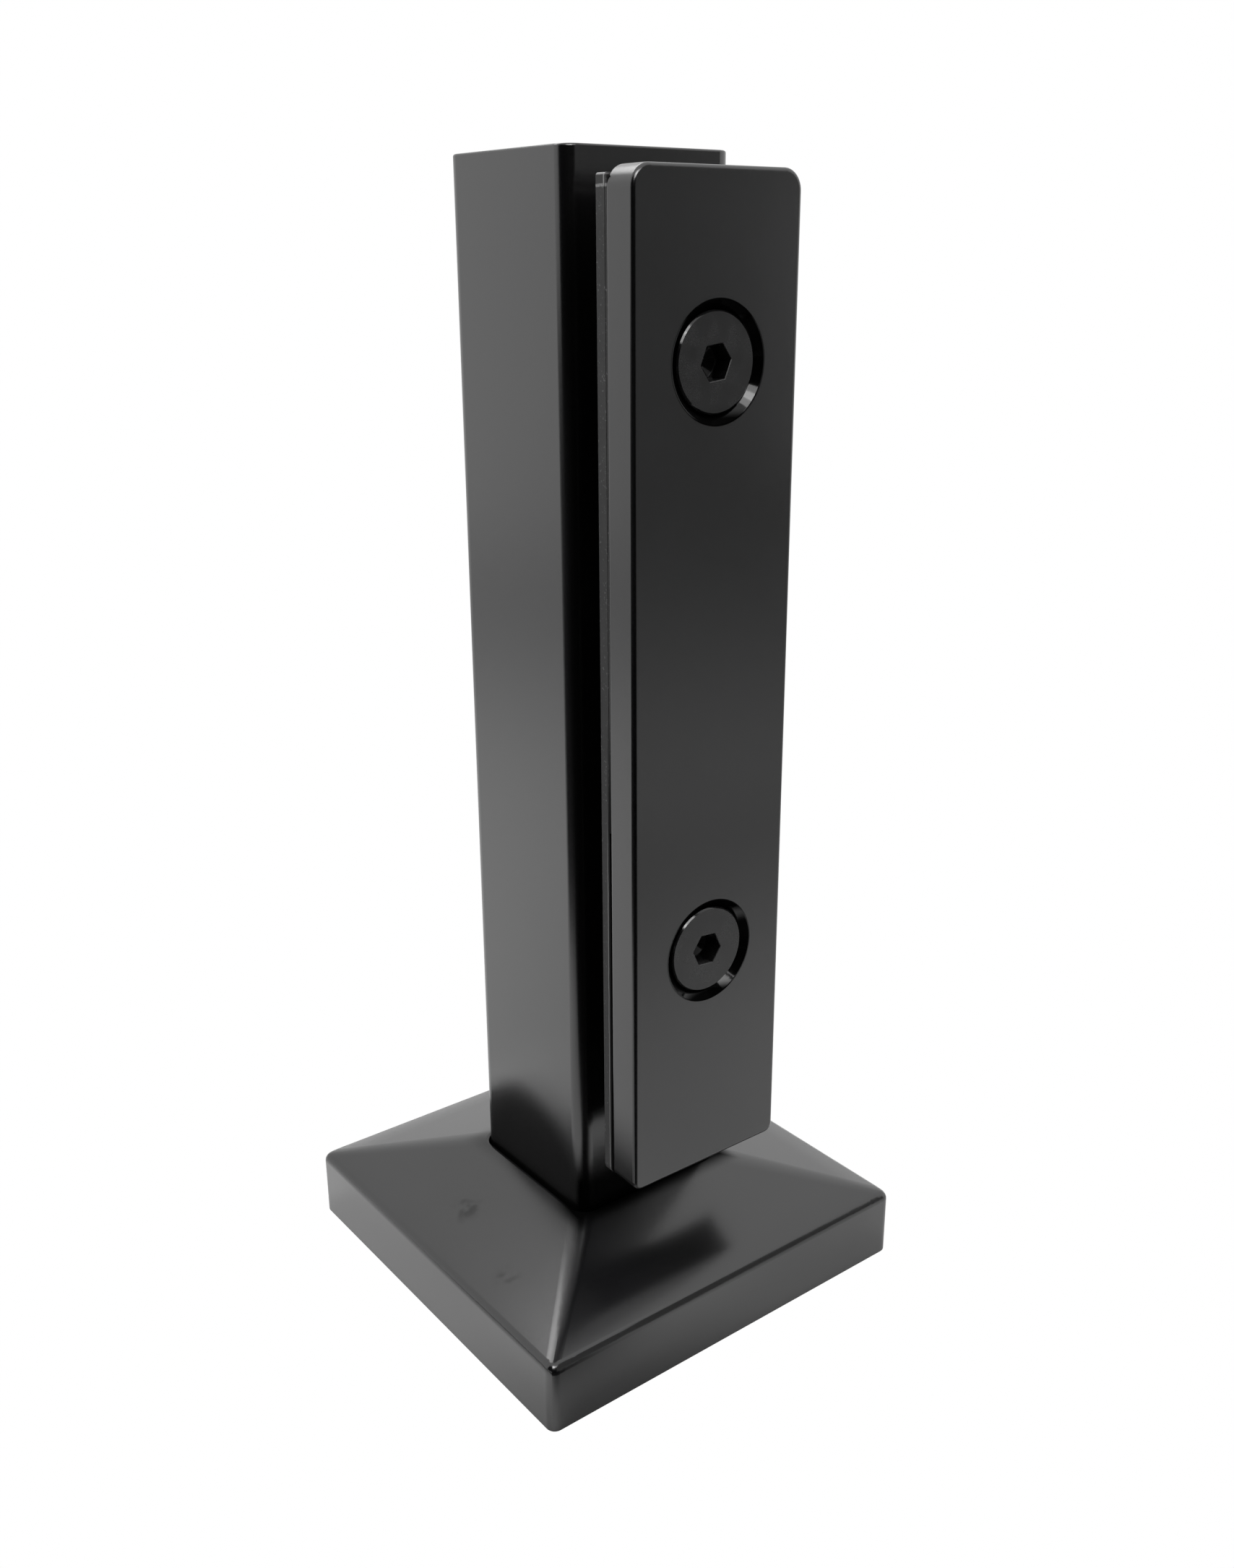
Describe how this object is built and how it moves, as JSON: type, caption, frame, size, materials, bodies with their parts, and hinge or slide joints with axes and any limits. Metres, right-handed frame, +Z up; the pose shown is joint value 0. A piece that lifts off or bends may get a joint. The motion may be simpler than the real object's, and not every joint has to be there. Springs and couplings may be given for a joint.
{
  "type": "glass railing clamp",
  "caption": "Deck-mounted square post with a screwed clamp plate that holds a glass balustrade panel, and a sliding square base cover.",
  "frame": {"origin": "on the deck, under the middle of the post, at the centre of the cover's lower rim", "axes": "+Z up along the post, X across the clamp plate, the clamp plate faces -Y"},
  "size_m": [0.1, 0.1, 0.248],
  "materials": {
    "satin_black": "satin",
    "screw_black": "satin",
    "gasket_rubber": "matt",
    "sleeve_plastic": "matt",
    "plain_steel": "plain"
  },
  "bodies": {
    "post": {"post_tube": "satin_black", "post_cap": "satin_black", "base_plate": "satin_black", "foot_weld": "satin_black", "weld_nut_upper": "plain_steel", "weld_nut_lower": "plain_steel"},
    "cover": {"base_cover": "satin_black"},
    "clamp": {"clamp_plate": "satin_black", "clamp_gasket": "gasket_rubber", "sleeve_upper": "sleeve_plastic", "sleeve_lower": "sleeve_plastic"},
    "screw_upper": {"screw_upper": "screw_black"},
    "screw_lower": {"screw_lower": "screw_black"}
  },
  "joints": [
    {"name": "cover_lift", "type": "slide", "parent": "post", "child": "cover", "axis": [0, 0, 1], "range_m": [0, 0.016]},
    {"name": "clamp_close", "type": "slide", "parent": "post", "child": "clamp", "axis": [0, 1, 0], "range_m": [-0.003, 0.003]},
    {"name": "screw_upper_turn", "type": "hinge", "parent": "clamp", "child": "screw_upper", "pos_m": [0, -0.0388, 0.21025], "axis": [0, 1, 0], "range_deg": [-720, 720]},
    {"name": "screw_lower_turn", "type": "hinge", "parent": "clamp", "child": "screw_lower", "pos_m": [0, -0.0388, 0.09125], "axis": [0, 1, 0], "range_deg": [-720, 720]}
  ],
  "couplings": [
    {"joint": "screw_upper_turn", "follows": "clamp_close", "rad_per_m": 4188.8},
    {"joint": "screw_lower_turn", "follows": "clamp_close", "rad_per_m": 4188.8}
  ]
}
